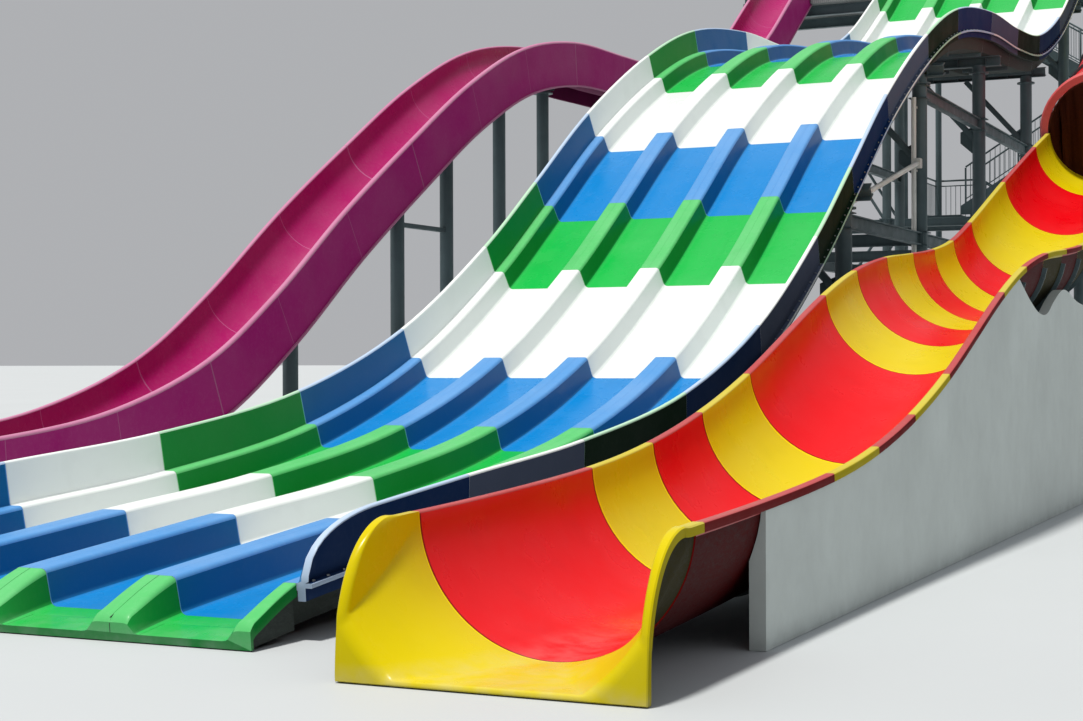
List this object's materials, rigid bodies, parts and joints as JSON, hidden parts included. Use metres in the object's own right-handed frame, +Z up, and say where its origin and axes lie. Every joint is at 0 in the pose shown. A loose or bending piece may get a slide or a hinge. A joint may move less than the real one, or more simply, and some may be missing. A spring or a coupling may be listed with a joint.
{
  "type": "water slide tower",
  "caption": "Start tower with stairs and deck, side-by-side racing lanes with low ridges, an open flume and a round chute that closes into a tube, all running down to pool level on steel posts.",
  "frame": {"origin": "middle of the plant's footprint at water level, where the lanes end and every foot stands", "axes": "+X across the lanes, +Y uphill along the slides towards the start tower, +Z up"},
  "size_m": [11.9, 39.4999, 11.849],
  "materials": {
    "lane_blue": "glossy moulded fibreglass",
    "lane_white": "glossy moulded fibreglass",
    "lane_green": "glossy moulded fibreglass",
    "chute_red": "glossy moulded fibreglass",
    "chute_yellow": "glossy moulded fibreglass",
    "flume_magenta": "glossy moulded fibreglass",
    "steel": "grey-green paint, lightly weathered",
    "plaster": "painted render on concrete",
    "deck": "grey anti-slip plate"
  },
  "bodies": {
    "root": {"chute_00_yellow": "chute_yellow", "chute_01_red": "chute_red", "chute_02_yellow": "chute_yellow", "chute_03_red": "chute_red", "chute_04_yellow": "chute_yellow", "chute_05_red": "chute_red", "chute_06_yellow": "chute_yellow", "chute_07_red": "chute_red", "chute_08_yellow": "chute_yellow", "chute_09_red": "chute_red", "chute_10_yellow": "chute_yellow", "chute_11_red": "chute_red", "chute_12_yellow": "chute_yellow", "chute_13_red": "chute_red", "chute_14_yellow": "chute_yellow", "chute_posts": "steel", "chute_side_wall": "plaster", "chute_tube_lower": "chute_red", "chute_tube_upper": "chute_yellow", "deck_rail_left": "steel", "deck_rail_right": "steel", "flume_1": "flume_magenta", "flume_2": "flume_magenta", "flume_3": "flume_magenta", "flume_4": "flume_magenta", "flume_5": "flume_magenta", "flume_posts": "steel", "lane_trestle_1": "steel", "lane_trestle_2": "steel", "lane_trestle_3": "steel", "lane_trestle_4": "steel", "lane_trestle_5": "steel", "lane_trestle_6": "steel", "lane_trestle_7": "steel", "lanes_00_nose_green": "lane_green", "lanes_01_blue": "lane_blue", "lanes_02_white": "lane_white", "lanes_03_green": "lane_green", "lanes_04_blue": "lane_blue", "lanes_05_white": "lane_white", "lanes_06_green": "lane_green", "lanes_07_blue": "lane_blue", "lanes_08_white": "lane_white", "lanes_09_green": "lane_green", "lanes_10_blue": "lane_blue", "lanes_11_white": "lane_white", "lanes_12_green": "lane_green", "lanes_13_blue": "lane_blue", "lanes_14_white": "lane_white", "lanes_15_green": "lane_green", "lanes_16_blue": "lane_blue", "stair_flight_1": "steel", "stair_flight_2": "steel", "stair_flight_3": "steel", "stair_flight_4": "steel", "stair_landing_left": "steel", "stair_landings_right": "steel", "tower_deck": "deck", "tower_frame_back": "steel", "tower_frame_front": "steel"}
  },
  "joints": []
}
